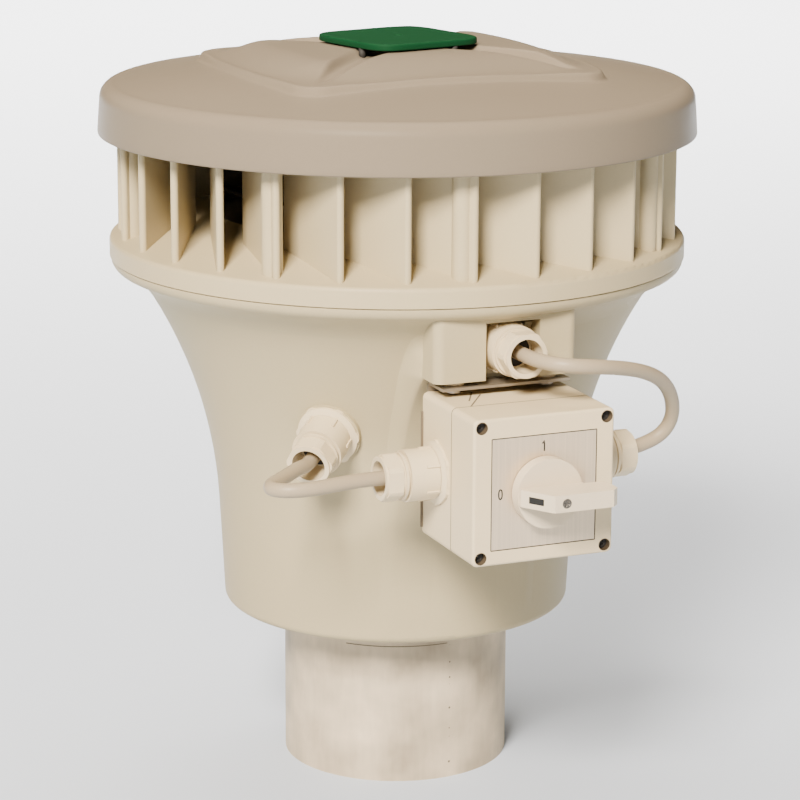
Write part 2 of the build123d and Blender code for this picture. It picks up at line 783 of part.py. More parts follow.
# Switch bracket: sheet bent to an L, its flange under the terminal block, the box on its face
box_bottom = box_top - box_height
bracket_width = box_width - 2 * box_round
bracket_points = ((bracket_screw_x, -bracket_screw_n), (-bracket_screw_x, -bracket_screw_n))
base_screw_x = contact_side / 2 + screw_head_radius + bracket_bend
base_screw_points = [
    (x * base_screw_x, box_z + z * base_screw_x) for x in (-1, 1) for z in (-1, 1)
]
with BuildPart() as switch_bracket:
    with BuildSketch(Plane.YZ.offset(-bracket_width / 2)):
        with BuildLine():
            FilletPolyline(
                (-block_face, bracket_top - bracket_sheet / 2),
                (-box_back + bracket_sheet / 2, bracket_top - bracket_sheet / 2),
                (-box_back + bracket_sheet / 2, box_bottom),
                radius=bracket_bend,
            )
        trace(line_width=bracket_sheet)
    extrude(amount=bracket_width)
    with BuildSketch(Plane.XY.offset(bracket_top)):
        with Locations(*bracket_points):
            Circle(screw_radius + hole_gap)
    extrude(amount=-bracket_sheet, mode=Mode.SUBTRACT)
    with BuildSketch(Plane.XZ.offset(box_back)):
        with Locations(*base_screw_points):
            Circle(screw_radius + hole_gap)
    extrude(amount=-bracket_sheet, mode=Mode.SUBTRACT)
    with BuildSketch(Plane.XY.offset(bracket_top)):
        with Locations((recess_shift, -recess_back)):
            Rectangle(recess_width, recess_depth + bracket_bend, align=(Align.CENTER, Align.MAX))
    extrude(amount=-bracket_sheet, mode=Mode.SUBTRACT)
switch_bracket.part.label = "switch_bracket"
export_step(switch_bracket.part, "parts/switch_bracket.step")

with BuildPart() as bracket_spacers:
    with BuildSketch(Plane.XY.offset(bracket_top)):
        with Locations(*bracket_points):
            Circle(screw_head_radius + spacer_rim)
        with Locations(*bracket_points):
            Circle(screw_radius + hole_gap, mode=Mode.SUBTRACT)
    extrude(amount=bracket_gap)
bracket_spacers.part.label = "bracket_spacers"
export_step(bracket_spacers.part, "parts/bracket_spacers.step")

# Switch box: base with gland holes and corner columns, seal, and cover with a round knob hole
column_x = box_width / 2 - cover_screw_inset
column_z = box_height / 2 - cover_screw_inset
column_points = [(x * column_x, box_z + z * column_z) for x in (-1, 1) for z in (-1, 1)]
column_radius = cover_screw_inset
cover_back = base_front + box_seal
with BuildPart() as switch_base:
    with BuildSketch(Plane.XZ.offset(box_back)):
        with Locations((0, box_z)):
            RectangleRounded(box_width, box_height, box_round)
    extrude(amount=base_front - box_back)
    with BuildSketch(Plane.XZ.offset(box_back + box_wall)):
        with Locations((0, box_z)):
            Rectangle(box_width - 2 * box_wall, box_height - 2 * box_wall)
        with Locations(*column_points):
            Circle(column_radius, mode=Mode.SUBTRACT)
    extrude(amount=base_front - box_back - box_wall, mode=Mode.SUBTRACT)
    with BuildSketch(Plane.XZ.offset(base_front)):
        with Locations(*column_points):
            Circle(screw_radius + seat_gap)
    extrude(amount=-(base_front - box_back) / 2, mode=Mode.SUBTRACT)
    with BuildSketch(Plane.XZ.offset(box_back)):
        with Locations(*base_screw_points):
            Circle(screw_radius + hole_gap)
    extrude(amount=box_wall, mode=Mode.SUBTRACT)
    for seat in (left_seat, right_seat):
        with BuildSketch(seat):
            Circle(gland_thread_radius + seat_gap)
        extrude(amount=-box_wall, mode=Mode.SUBTRACT)
switch_base.part.label = "switch_base"
export_step(switch_base.part, "parts/switch_base.step")

with BuildPart() as switch_seal:
    with BuildSketch(Plane.XZ.offset(base_front)):
        with Locations((0, box_z)):
            RectangleRounded(
                box_width - 2 * box_seal_inset, box_height - 2 * box_seal_inset, box_round
            )
        with Locations((0, box_z)):
            Rectangle(
                box_width - 2 * box_wall, box_height - 2 * box_wall, mode=Mode.SUBTRACT
            )
        with Locations(*column_points):
            Circle(screw_radius + hole_gap, mode=Mode.SUBTRACT)
    extrude(amount=box_seal)
switch_seal.part.label = "switch_seal"
export_step(switch_seal.part, "parts/switch_seal.step")

with BuildPart() as switch_cover:
    with BuildSketch(Plane.XZ.offset(cover_back)):
        with Locations((0, box_z)):
            RectangleRounded(box_width, box_height, box_round)
    extrude(amount=box_front - cover_back)
    fillet(switch_cover.edges().group_by(Axis.Y)[0], box_round / 2)
    with BuildSketch(Plane.XZ.offset(cover_back)):
        with Locations((0, box_z)):
            Rectangle(box_width - 2 * box_wall, box_height - 2 * box_wall)
        with Locations(*column_points):
            Circle(column_radius, mode=Mode.SUBTRACT)
    extrude(amount=box_front - cover_back - box_wall, mode=Mode.SUBTRACT)
    with BuildSketch(Plane.XZ.offset(cover_back)):
        with Locations(*column_points):
            Circle(screw_radius + hole_gap)
    extrude(amount=box_front - cover_back, mode=Mode.SUBTRACT)
    with BuildSketch(Plane.XZ.offset(box_front)):
        with Locations(*column_points):
            Circle(cover_screw_recess)
    extrude(amount=-(screw_head + cover_screw_depth), mode=Mode.SUBTRACT)
    with BuildSketch(Plane.XZ.offset(box_front)):
        with Locations((0, knob_z)):
            Rectangle(face_plate_side + seat_gap, face_plate_side + seat_gap)
    extrude(amount=-face_plate_recess, mode=Mode.SUBTRACT)
    with BuildSketch(Plane.XZ.offset(box_front)):
        with Locations((0, knob_z)):
            Circle(spindle_radius + seat_gap)
    extrude(amount=-box_wall, mode=Mode.SUBTRACT)
switch_cover.part.label = "switch_cover"
export_step(switch_cover.part, "parts/switch_cover.step")

with BuildPart() as face_plate:
    with BuildSketch(Plane.XZ.offset(box_front - face_plate_recess)):
        with Locations((0, knob_z)):
            Rectangle(face_plate_side, face_plate_side)
            Circle(spindle_radius + seat_gap, mode=Mode.SUBTRACT)
    extrude(amount=face_plate_sheet)
face_plate.part.label = "face_plate"
export_step(face_plate.part, "parts/face_plate.step")

contact_front = box_back + box_wall + contact_depth
with BuildPart() as switch_contacts:
    with BuildSketch(Plane.XZ.offset(box_back + box_wall)):
        with Locations((0, knob_z)):
            Rectangle(contact_side, contact_side)
    extrude(amount=contact_depth)
    with BuildSketch(Plane.XZ.offset(contact_front)):
        with Locations((0, knob_z)):
            Circle(spindle_radius + running_gap)
    extrude(amount=-contact_depth / 2, mode=Mode.SUBTRACT)
switch_contacts.part.label = "switch_contacts"
export_step(switch_contacts.part, "parts/switch_contacts.step")

# Knob: disc with a bar handle, its sloped nose pointing at the marks, the tail overhanging
knob_back = box_front + knob_gap
knob_face = knob_back + knob_disc
handle_front = box_front + knob_reach
tail_back = box_front + handle_rise
nose_base = -(knob_radius**2 - (handle_thickness / 2) ** 2) ** 0.5
tail_cut = handle_thickness * 0.4
spindle_end = handle_front - handle_thickness
nose_run = Vector(-handle_nose, -handle_front) - Vector(nose_base, -tail_back)
nose_plane = Plane(
    origin=(
        (nose_base - handle_nose) / 2,
        -(tail_back + handle_front) / 2,
        knob_z,
    ),
    x_dir=nose_run,
    z_dir=(nose_run.Y, -nose_run.X, 0),
)
with BuildPart() as switch_knob:
    with BuildSketch(Plane.XZ.offset(knob_back)):
        with Locations((0, knob_z)):
            Circle(knob_radius)
    extrude(amount=knob_disc)
    with BuildSketch(Plane.XY.offset(knob_z - handle_thickness / 2)):
        with BuildLine():
            Polyline(
                (nose_base, -knob_face + 1),
                (nose_base, -tail_back),
                (-handle_nose, -handle_front),
                (handle_tail - tail_cut, -handle_front),
                (handle_tail, -handle_front + tail_cut),
                (handle_tail, -tail_back - tail_cut),
                (handle_tail - tail_cut, -tail_back),
                (-nose_base, -tail_back),
                (-nose_base, -knob_face + 1),
                close=True,
            )
        make_face()
    extrude(amount=handle_thickness)
    with BuildSketch(Plane.XZ.offset(knob_back)):
        with Locations((0, knob_z)):
            Circle(spindle_radius)
    extrude(amount=spindle_end - knob_back, mode=Mode.SUBTRACT)
    with BuildSketch(Plane.XZ.offset(handle_front)):
        with Locations((0, knob_z)):
            Circle(screw_radius)
    extrude(amount=-(handle_front - spindle_end), mode=Mode.SUBTRACT)
    with BuildSketch(nose_plane):
        Rectangle(mark_length, mark_width)
    extrude(amount=-mark_depth, mode=Mode.SUBTRACT)
switch_knob.part.label = "switch_knob"
export_step(switch_knob.part, "parts/switch_knob.step")

with BuildPart() as knob_mark:
    with BuildSketch(nose_plane):
        Rectangle(mark_length, mark_width)
    extrude(amount=-mark_depth)
knob_mark.part.label = "knob_mark"
export_step(knob_mark.part, "parts/knob_mark.step")

with BuildPart() as knob_screw:
    with BuildSketch(Plane.XZ.offset(spindle_end)):
        with Locations((0, knob_z)):
            Circle(screw_radius)
    extrude(amount=handle_front - spindle_end - mark_depth)
knob_screw.part.label = "knob_screw"
export_step(knob_screw.part, "parts/knob_screw.step")

with BuildPart() as switch_spindle:
    with BuildSketch(Plane.XZ.offset(contact_front - contact_depth / 2 + seat_gap)):
        with Locations((0, knob_z)):
            Circle(spindle_radius)
    extrude(amount=spindle_end - contact_front + contact_depth / 2 - seat_gap)
switch_spindle.part.label = "switch_spindle"
export_step(switch_spindle.part, "parts/switch_spindle.step")

# Screws: round heads on straight shanks, each set in one file
with BuildPart() as long_screws:
    with BuildSketch(Plane.XY.offset(plate_top)):
        with Locations(*pillar_points):
            Circle(screw_head_radius)
    extrude(amount=screw_head)
    with BuildSketch(Plane.XY.offset(plate_top)):
        with Locations(*pillar_points):
            Circle(screw_radius)
    extrude(amount=-(plate_top - lip_z - 2 * screw_radius))
long_screws.part.label = "long_screws"
export_step(long_screws.part, "parts/long_screws.step")

with BuildPart() as hood_screws:
    with BuildSketch(Plane.XY.offset(plate_z)):
        with PolarLocations(post_circle, 4, start_angle=45):
            Circle(screw_head_radius)
    extrude(amount=-screw_head)
    with BuildSketch(Plane.XY.offset(plate_z)):
        with PolarLocations(post_circle, 4, start_angle=45):
            Circle(screw_radius)
    extrude(amount=plate_sheet + post_radius * 1.5)
hood_screws.part.label = "hood_screws"
export_step(hood_screws.part, "parts/hood_screws.step")

with BuildPart() as stator_screws:
    with BuildSketch(Plane.XY.offset(plate_top)):
        with PolarLocations(stator_screw_circle, 4):
            Circle(screw_head_radius)
    extrude(amount=screw_head)
    with BuildSketch(Plane.XY.offset(plate_top)):
        with PolarLocations(stator_screw_circle, 4):
            Circle(screw_radius)
    extrude(amount=-(plate_sheet + stator_flange - screw_radius))
stator_screws.part.label = "stator_screws"
export_step(stator_screws.part, "parts/stator_screws.step")

with BuildPart() as impeller_screws:
    with BuildSketch(Plane.XY.offset(impeller_back_z + impeller_sheet)):
        with PolarLocations(rotor_radius + rotor_collar / 2, 6):
            Circle(screw_head_radius)
    extrude(amount=screw_head)
    with BuildSketch(Plane.XY.offset(impeller_back_z + impeller_sheet)):
        with PolarLocations(rotor_radius + rotor_collar / 2, 6):
            Circle(screw_radius)
    extrude(amount=-(impeller_sheet + rotor_wall))
impeller_screws.part.label = "impeller_screws"
export_step(impeller_screws.part, "parts/impeller_screws.step")

with BuildPart() as inlet_screws:
    with BuildSketch(Plane.XY.offset(pipe_top)):
        with PolarLocations(land_radius - floor_land / 2, 6):
            Circle(screw_head_radius)
    extrude(amount=-screw_head)
    with BuildSketch(Plane.XY.offset(pipe_top)):
        with PolarLocations(land_radius - floor_land / 2, 6):
            Circle(screw_radius)
    extrude(amount=nozzle_sheet + ring_wall - seat_gap)
inlet_screws.part.label = "inlet_screws"
export_step(inlet_screws.part, "parts/inlet_screws.step")

with BuildPart() as bracket_screws:
    with BuildSketch(Plane.XY.offset(bracket_top - bracket_sheet)):
        with Locations(*bracket_points):
            Circle(screw_head_radius)
    extrude(amount=-screw_head)
    with BuildSketch(Plane.XY.offset(bracket_top - bracket_sheet)):
        with Locations(*bracket_points):
            Circle(screw_radius)
    extrude(amount=bracket_sheet + bracket_gap + block_drop - 2 * casing_wall)
bracket_screws.part.label = "bracket_screws"
export_step(bracket_screws.part, "parts/bracket_screws.step")

with BuildPart() as base_screws:
    with BuildSketch(Plane.XZ.offset(box_back + box_wall)):
        with Locations(*base_screw_points):
            Circle(screw_head_radius)
    extrude(amount=screw_head)
    with BuildSketch(Plane.XZ.offset(box_back + box_wall)):
        with Locations(*base_screw_points):
            Circle(screw_radius)
    extrude(amount=-(box_wall + 2 * bracket_sheet))
base_screws.part.label = "base_screws"
export_step(base_screws.part, "parts/base_screws.step")

with BuildPart() as cover_screws:
    with BuildSketch(Plane.XZ.offset(box_front - cover_screw_depth)):
        with Locations(*column_points):
            Circle(cover_screw_recess - seat_gap)
    extrude(amount=-screw_head)
    with BuildSketch(Plane.XZ.offset(box_front - cover_screw_depth - screw_head)):
        with Locations(*column_points):
            Circle(screw_radius)
    extrude(amount=-(box_front - base_front))
cover_screws.part.label = "cover_screws"
export_step(cover_screws.part, "parts/cover_screws.step")

# Cable glands: body, clamping nut with its mouth, rubber seal and lock nut on every seat
neck_end = gland_flange + nut_length - nut_groove
nut_end = gland_flange + seat_gap + nut_length
mouth_start = nut_end + 3 * nut_groove
mouth_end = mouth_start + mouth_length
seal_radius = gland_neck_radius * 0.78
seal_length = neck_end / 2
body_bore = gland_thread_radius * 0.62
cable_radius = cable_diameter / 2
for gland_name, (seat, grip) in gland_places.items():
    seat_axis = Axis(seat.origin, seat.z_dir)
    flange_radius = gland_flange_radius
    if gland_name == "motor_gland":
        flange_radius = min(gland_flange_radius, recess_width / 2 - 2 * seat_gap) / 1.06
    spigot_end = -(grip + lock_nut + seat_gap)
    with BuildPart() as gland_body:
        with BuildSketch(axial(seat)):
            with BuildLine():
                Polyline(
                    (body_bore, spigot_end),
                    (gland_thread_radius, spigot_end),
                    (gland_thread_radius, 0),
                    (flange_radius, 0),
                    (flange_radius, gland_hex),
                    (nut_radius, gland_flange),
                    (gland_neck_radius, gland_flange),
                    (gland_neck_radius, neck_end),
                    (seal_radius, neck_end),
                    (seal_radius, neck_end - seal_length),
                    (body_bore, neck_end - seal_length),
                    close=True,
                )
            make_face()
        revolve(axis=seat_axis)
        with BuildSketch(seat):
            RegularPolygon(flange_radius * 1.1, 6)
            Circle(flange_radius * 1.06, mode=Mode.INTERSECT)
            Circle(gland_thread_radius, mode=Mode.SUBTRACT)
        extrude(amount=gland_hex)
    gland_body.part.label = f"{gland_name}_body"
    export_step(gland_body.part, f"parts/{gland_name}_body.step")

    with BuildPart() as gland_nut:
        with BuildSketch(axial(seat)):
            with BuildLine():
                Polyline(
                    (gland_neck_radius + seat_gap, gland_flange + seat_gap),
                    (nut_radius, gland_flange + seat_gap),
                    (nut_radius, nut_end),
                    (nut_radius - nut_groove_depth, nut_end),
                    (nut_radius - nut_groove_depth, nut_end + nut_groove),
                    (nut_ring_radius, nut_end + nut_groove),
                    (nut_ring_radius, nut_end + 2 * nut_groove),
                    (nut_radius - nut_groove_depth, nut_end + 2 * nut_groove),
                    (nut_radius - nut_groove_depth, mouth_start),
                    (mouth_radius, mouth_start),
                    (mouth_radius, mouth_end),
                    (mouth_bore, mouth_end),
                    (mouth_bore, neck_end + seat_gap),
                    (gland_neck_radius + seat_gap, neck_end + seat_gap),
                    close=True,
                )
            make_face()
        revolve(axis=seat_axis)
        with BuildSketch(seat.offset(gland_flange + seat_gap)):
            with PolarLocations(nut_radius, gland_ribs):
                Rectangle(2 * rib_proud, rib_width)
        extrude(amount=rib_length)
        with BuildSketch(seat.offset(mouth_start)):
            RegularPolygon(mouth_radius, 6, major_radius=False)
            Circle(mouth_radius * 1.1, mode=Mode.INTERSECT)
            Circle(mouth_bore, mode=Mode.SUBTRACT)
        extrude(amount=mouth_length - nut_groove)
    gland_nut.part.label = f"{gland_name}_nut"
    export_step(gland_nut.part, f"parts/{gland_name}_nut.step")

    with BuildPart() as gland_seal:
        with BuildSketch(seat.offset(neck_end)):
            Circle(seal_radius - seat_gap / 2)
            Circle(cable_radius, mode=Mode.SUBTRACT)
        extrude(amount=-(seal_length - seat_gap))
    gland_seal.part.label = f"{gland_name}_seal"
    export_step(gland_seal.part, f"parts/{gland_name}_seal.step")

    with BuildPart() as gland_lock_nut:
        with BuildSketch(seat.offset(-grip)):
            RegularPolygon(lock_nut_radius, 6)
            Circle(gland_thread_radius, mode=Mode.SUBTRACT)
        extrude(amount=-lock_nut)
    gland_lock_nut.part.label = f"{gland_name}_lock_nut"
    export_step(gland_lock_nut.part, f"parts/{gland_name}_lock_nut.step")


def cord_radii(points):
    """bend radius at each inner point, from the shorter run and the turn there"""
    radii = []
    for before, here, after in zip(points, points[1:], points[2:]):
        turn = radians((here - before).get_angle(after - here))
        shorter = min((here - before).length, (after - here).length)
        radii.append(0.45 * shorter / tan(turn / 2))
    return radii


# Cables: from the casing to the switch, and from the switch to the terminal block
cable_end = neck_end - seal_length + 2 * seat_gap
casing_axis = casing_seat.z_dir
supply_points = [
    casing_seat.origin + cable_end * casing_axis,
    casing_seat.origin + (mouth_end - nut_groove) * casing_axis,
    left_seat.origin + Vector(-62.5, 33.8, 0.2),
    left_seat.origin + Vector(-76.0, 22.1, -1.0),
    left_seat.origin + Vector(-89.5, 9.1, -1.3),
    left_seat.origin + Vector(-84.5, -0.9, -1.0),
    left_seat.origin + Vector(-72.5, -4.4, -0.6),
    left_seat.origin + Vector(-58.0, -3.2, 0),
    left_seat.origin + Vector(-43.0, -1.0, 0.4),
    left_seat.origin + Vector(-25.0, 0, 0),
    left_seat.origin + Vector(-cable_end, 0, 0),
]
motor_points = [
    motor_seat.origin + Vector(0, -cable_end, 0),
    motor_seat.origin + Vector(0, -24.0, 0),
    motor_seat.origin + Vector(1.4, -42.0, 0),
    motor_seat.origin + Vector(9.9, -55.0, -0.5),
    motor_seat.origin + Vector(26.9, -57.0, -2.0),
    motor_seat.origin + Vector(44.9, -51.0, -5.5),
    right_seat.origin + Vector(26.0, -28.9, 50.5),
    right_seat.origin + Vector(41.0, -19.9, 42.5),
    right_seat.origin + Vector(51.5, -10.9, 30.5),
    right_seat.origin + Vector(56.0, -3.4, 17.0),
    right_seat.origin + Vector(51.0, 0.1, 7.0),
    right_seat.origin + Vector(37.0, 0, 2.4),
    right_seat.origin + Vector(21.0, 0, 0),
    right_seat.origin + Vector(cable_end, 0, 0),
]
for cable_name, cable_points in (("supply_cable", supply_points), ("motor_cable", motor_points)):
    with BuildPart() as cable:
        with BuildLine() as cable_path:
            FilletPolyline(*cable_points, radius=cord_radii(cable_points))
        with BuildSketch(Plane(origin=cable_path.line @ 0, z_dir=cable_path.line % 0)):
            Circle(cable_radius)
        sweep()
    cable.part.label = cable_name
    export_step(cable.part, f"parts/{cable_name}.step")
    print(cable_name, "bends", [round(r, 1) for r in cord_radii(cable_points)])
    print("length", cable_path.wires()[0].length, cable.part.volume / (pi * cable_radius**2))
    print([tuple(round(c, 2) for c in p) for p in cable_points])
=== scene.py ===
from math import cos, pi, radians, sin

import bpy
import numpy as np
from mathutils import Matrix, Vector


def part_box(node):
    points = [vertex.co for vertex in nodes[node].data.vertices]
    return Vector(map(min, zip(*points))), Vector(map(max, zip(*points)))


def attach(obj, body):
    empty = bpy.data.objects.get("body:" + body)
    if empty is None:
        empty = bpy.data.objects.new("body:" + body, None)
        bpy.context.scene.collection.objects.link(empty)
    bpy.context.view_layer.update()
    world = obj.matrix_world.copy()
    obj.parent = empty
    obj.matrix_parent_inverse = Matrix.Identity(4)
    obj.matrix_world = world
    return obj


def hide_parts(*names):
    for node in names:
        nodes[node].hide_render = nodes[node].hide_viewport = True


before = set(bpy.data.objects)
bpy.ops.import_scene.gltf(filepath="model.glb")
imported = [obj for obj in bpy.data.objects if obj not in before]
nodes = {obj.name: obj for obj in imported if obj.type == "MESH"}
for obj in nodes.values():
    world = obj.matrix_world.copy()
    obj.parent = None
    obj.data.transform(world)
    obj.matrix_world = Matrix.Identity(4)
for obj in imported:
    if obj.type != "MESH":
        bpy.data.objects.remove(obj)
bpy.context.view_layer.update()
MM = 0.001
SHARP = radians(32)     # edges that turn by more than this stay crisp
PROUD = 0.04            # how far the pipe's painted shadow line, its pits and the screw wells' rims of painted shade stand off what carries them, in mm

# Measures from the frame, in mm


def corners(node):
    """lowest and highest corner of a node at rest"""
    low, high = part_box(node)
    return np.array(low) / MM, np.array(high) / MM


cover_low, cover_high = corners("switch_cover")
base_low = corners("switch_base")[0]
face_low, face_high = corners("face_plate")
knob_low = corners("switch_knob")[0]
plate_high = corners("top_plate")[1]
pipe_radius = corners("duct_pipe")[1][0]
cover_front = -cover_low[1]
face_front = -face_low[1]
box_half = (cover_high - cover_low)[[0, 2]] / 2
box_z = (cover_low[2] + cover_high[2]) / 2
face_z = (face_low[2] + face_high[2]) / 2

# Materials


def feed(tree, node, inputs):
    """Set a node's inputs: a value is written in, another node's output is linked."""
    for socket, value in inputs.items():
        if isinstance(value, bpy.types.NodeSocket):
            tree.links.new(value, node.inputs[socket])
        else:
            node.inputs[socket].default_value = value


def add(tree, kind, output, inputs, operation=None):
    """Add a node to a tree, feed it, and give its named output."""
    node = tree.nodes.new("ShaderNode" + kind)
    if operation:
        node.operation = operation
    feed(tree, node, inputs)
    return node.outputs[output]


def finish(name, colour, rough=0.5, metal=0.0, spec=0.4, grain=(700, 700, 700), vary=0.03,
           bump=0.03, patch=0.03, patch_scale=14.0, rough_vary=0.08):
    """Procedural finish on Object coordinates: a colour with broad patches and fine grain, uneven gloss
    and slight relief. vary and patch are the shares of the colour that grain and patches move."""
    relief_scale, relief_depth = 1400.0, 0.0005
    material = bpy.data.materials.new(name)
    material.use_nodes = True
    tree = material.node_tree
    place = add(tree, "TexCoord", "Object", {})
    stretched = add(tree, "Mapping", "Vector", {"Vector": place, "Scale": grain})
    fine = add(tree, "TexNoise", "Fac", {"Vector": stretched, "Scale": 1.0, "Detail": 4.0})
    broad = add(tree, "TexNoise", "Fac", {"Vector": place, "Scale": patch_scale, "Detail": 3.0})
    relief = add(tree, "TexNoise", "Fac", {"Vector": place, "Scale": relief_scale, "Detail": 2.0})
    wide = add(tree, "Math", "Value", {0: broad, 1: 2 * patch, 2: 1.0 - vary - patch}, "MULTIPLY_ADD")
    shade = add(tree, "Math", "Value", {0: fine, 1: 2 * vary, 2: wide}, "MULTIPLY_ADD")
    gloss = add(tree, "Math", "Value", {0: broad, 1: 2 * rough_vary, 2: rough - rough_vary}, "MULTIPLY_ADD")
    feed(tree, tree.nodes["Principled BSDF"], {
        "Base Color": add(tree, "VectorMath", "Vector", {0: colour, "Scale": shade}, "SCALE"),
        "Roughness": gloss,
        "Metallic": metal,
        "Specular IOR Level": spec,
        "Normal": add(tree, "Bump", "Normal", {"Height": relief, "Strength": bump, "Distance": relief_depth}),
    })
    return material


# The bell casing and its ribs have a darker copy of the vane ring's plastic: painted shade on the bell below
# the flange
casing_painted_shade_finish = finish("casing", (0.435, 0.366, 0.222), rough=0.42, spec=0.08)
vane_finish = finish("vane", (0.480, 0.400, 0.242), rough=0.42, spec=0.16)
hood_finish = finish("hood", (0.200, 0.165, 0.119), rough=0.36, spec=0.04)
box_finish = finish("box", (0.68, 0.56, 0.355), rough=0.42, spec=0.25)
knob_finish = finish("knob", (0.65, 0.55, 0.395), rough=0.35, spec=0.3)
gland_finish = finish("gland", (0.68, 0.565, 0.37), rough=0.42, spec=0.25)
jacket_finish = finish("jacket", (0.35, 0.284, 0.19), rough=0.42, spec=0.3)
# Black rubber of the seals; the plate's posts take it too, as painted shade under the plate
rubber_and_shade_finish = finish("rubber", (0.022, 0.020, 0.018), rough=0.7)
black_finish = finish("black", (0.008, 0.008, 0.007), rough=0.5)
green_finish = finish("green", (0.005, 0.044, 0.016), rough=0.6, spec=0.05)
steel_finish = finish("steel", (0.42, 0.40, 0.38), rough=0.38, metal=1.0)
sheet_finish = finish("sheet", (0.30, 0.26, 0.20), rough=0.42, metal=0.7)
screw_finish = finish("screw", (0.16, 0.145, 0.125), rough=0.35, metal=0.9)
# Dark brown of painted shade in the screw wells, on their rims and bores
well_shade_finish = finish("well", (0.085, 0.064, 0.042), rough=0.6, spec=0.1)
# Dark lines of the box's seam and grooves and the pipe's pits; also painted shade in the pipe's shadow line
# and at the bracket's edge
line_and_shade_finish = finish("line", (0.16, 0.13, 0.09), rough=0.7, spec=0.1)
pipe_finish = finish("pipe", (0.55, 0.455, 0.322), rough=0.44, metal=0.1, spec=0.08, grain=(320, 320, 50),
                     vary=0.11, patch=0.7, patch_scale=30.0, rough_vary=0.12, bump=0.02)
face_finish = finish("face", (0.66, 0.54, 0.39), rough=0.36, metal=0.55, grain=(1500, 900, 22),
                     vary=0.16, patch=0.05)
iron_finish = finish("iron", (0.05, 0.047, 0.043), rough=0.55, metal=0.3)
impeller_finish = finish("impeller", (0.013, 0.012, 0.011), rough=0.55)
foam_finish = finish("foam", (0.10, 0.097, 0.09), rough=0.9, bump=0.5)

finishes = {
    "duct_pipe": pipe_finish, "bell_casing": casing_painted_shade_finish, "vane_ring": vane_finish,
    "insulation": foam_finish, "inlet_nozzle": sheet_finish, "motor_plate": sheet_finish,
    "hood": hood_finish, "top_plate": green_finish, "motor_stator": iron_finish,
    "motor_rotor": iron_finish, "impeller": impeller_finish, "switch_bracket": sheet_finish,
    "bracket_spacers": gland_finish, "switch_base": box_finish, "switch_cover": box_finish,
    "switch_seal": rubber_and_shade_finish, "face_plate": face_finish, "switch_contacts": black_finish,
    "cover_screws": screw_finish, "knob_screw": iron_finish, "switch_knob": knob_finish,
    "knob_mark": black_finish, "supply_cable": jacket_finish, "motor_cable": jacket_finish,
}


def dress(name, node):
    """Give a node its own finish, or that of the seals, the glands or plain steel."""
    if name in finishes:
        material = finishes[name]
    elif name.endswith("_seal"):
        material = rubber_and_shade_finish
    elif "gland" in name:
        material = gland_finish
    else:
        material = steel_finish
    node.data.materials.clear()
    node.data.materials.append(material)
    node.data.shade_smooth()
    node.data.set_sharp_from_angle(angle=SHARP)


for name, node in nodes.items():
    dress(name, node)

# Cables

CABLE = 7.6 * MM        # thickness of both cables


def cable(name, points_mm, node):
    """A smooth cable along a quadratic spline, standing for the same cable in the solids."""
    points = np.array(points_mm) * MM
    curve = bpy.data.curves.new(name, "CURVE")
    curve.dimensions = "3D"
    curve.bevel_depth = CABLE / 2
    curve.bevel_resolution = 8
    curve.resolution_u = 10
    curve.use_fill_caps = True
    spline = curve.splines.new("NURBS")
    spline.points.add(len(points) - 1)
    flat = np.concatenate([points, np.ones((len(points), 1))], axis=1)
    spline.points.foreach_set("co", flat.ravel())
    spline.order_u = 3
    spline.use_endpoint_u = True
    obj = bpy.data.objects.new(name, curve)
    bpy.context.scene.collection.objects.link(obj)
    curve.materials.append(jacket_finish)
    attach(obj, "base")
    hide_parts(node)


supply = [(-79.85, -91.85, 209.32), (-93.3, -107.33, 203.02), (-101.5, -114.8, 204.15),
          (-115.0, -126.5, 202.95), (-128.5, -139.5, 202.65), (-123.5, -149.5, 202.95),
          (-111.5, -153.0, 203.35), (-97.0, -151.8, 203.95), (-82.0, -149.6, 204.35),
          (-64.0, -148.6, 203.95), (-48.25, -148.6, 203.95)]
motor = [(3.1, -143.25, 265.0), (3.1, -158.0, 265.0), (4.5, -176.0, 265.0),
         (13.0, -189.0, 264.5), (30.0, -191.0, 263.0), (48.0, -185.0, 259.5),
         (65.0, -177.5, 254.45), (80.0, -168.5, 246.45), (90.5, -159.5, 234.45),
         (95.0, -152.0, 220.95), (90.0, -148.5, 210.95), (76.0, -148.6, 206.35),
         (60.0, -148.6, 203.95), (48.25, -148.6, 203.95)]
cable("supply_cable_jacket", supply, "supply_cable")
cable("motor_cable_jacket", motor, "motor_cable")

# Surfaces


def new_piece(name, grid, faces, material, body="base", rounded=True):
    """A mesh piece from points in mm, in the frame of the whole object, that rides on a body."""
    mesh = bpy.data.meshes.new(name)
    mesh.from_pydata((np.asarray(grid).reshape(-1, 3) * MM).tolist(), [], faces)
    mesh.materials.append(material)
    if rounded:
        mesh.shade_smooth()
    obj = bpy.data.objects.new(name, mesh)
    bpy.context.scene.collection.objects.link(obj)
    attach(obj, body)
    return obj


def strip_faces(grid, closed):
    """quads of a grid of points, its rows joined end to end if closed"""
    rows, across = grid.shape[:2]
    i = np.arange(rows if closed else rows - 1)[:, None]
    j = np.arange(across - 1)[None, :]
    a = i * across + j
    b = ((i + 1) % rows) * across + j
    return np.stack([a, b, b + 1, a + 1], axis=-1).reshape(-1, 4).tolist()


def turned_faces(grid):
    """quads of a grid turned about an axis, with a face over its first and its last ring"""
    rows, across = grid.shape[:2]
    first = np.arange(rows) * across
    return strip_faces(grid, True) + [first[::-1].tolist(), (first + across - 1).tolist()]


def spokes(count):
    """angles of evenly spread spokes, as a column"""
    return np.linspace(0, 2 * pi, count, endpoint=False)[:, None]


def joined(*values):
    """coordinates of equal or fitting shapes put together as points"""
    return np.stack(np.broadcast_arrays(*values), axis=-1)


def ease(x, low, high):
    """0 below low, 1 above high, an even cubic step between"""
    t = np.clip((x - low) / (high - low), 0, 1)
    return t * t * (3 - 2 * t)


# Hood and plate


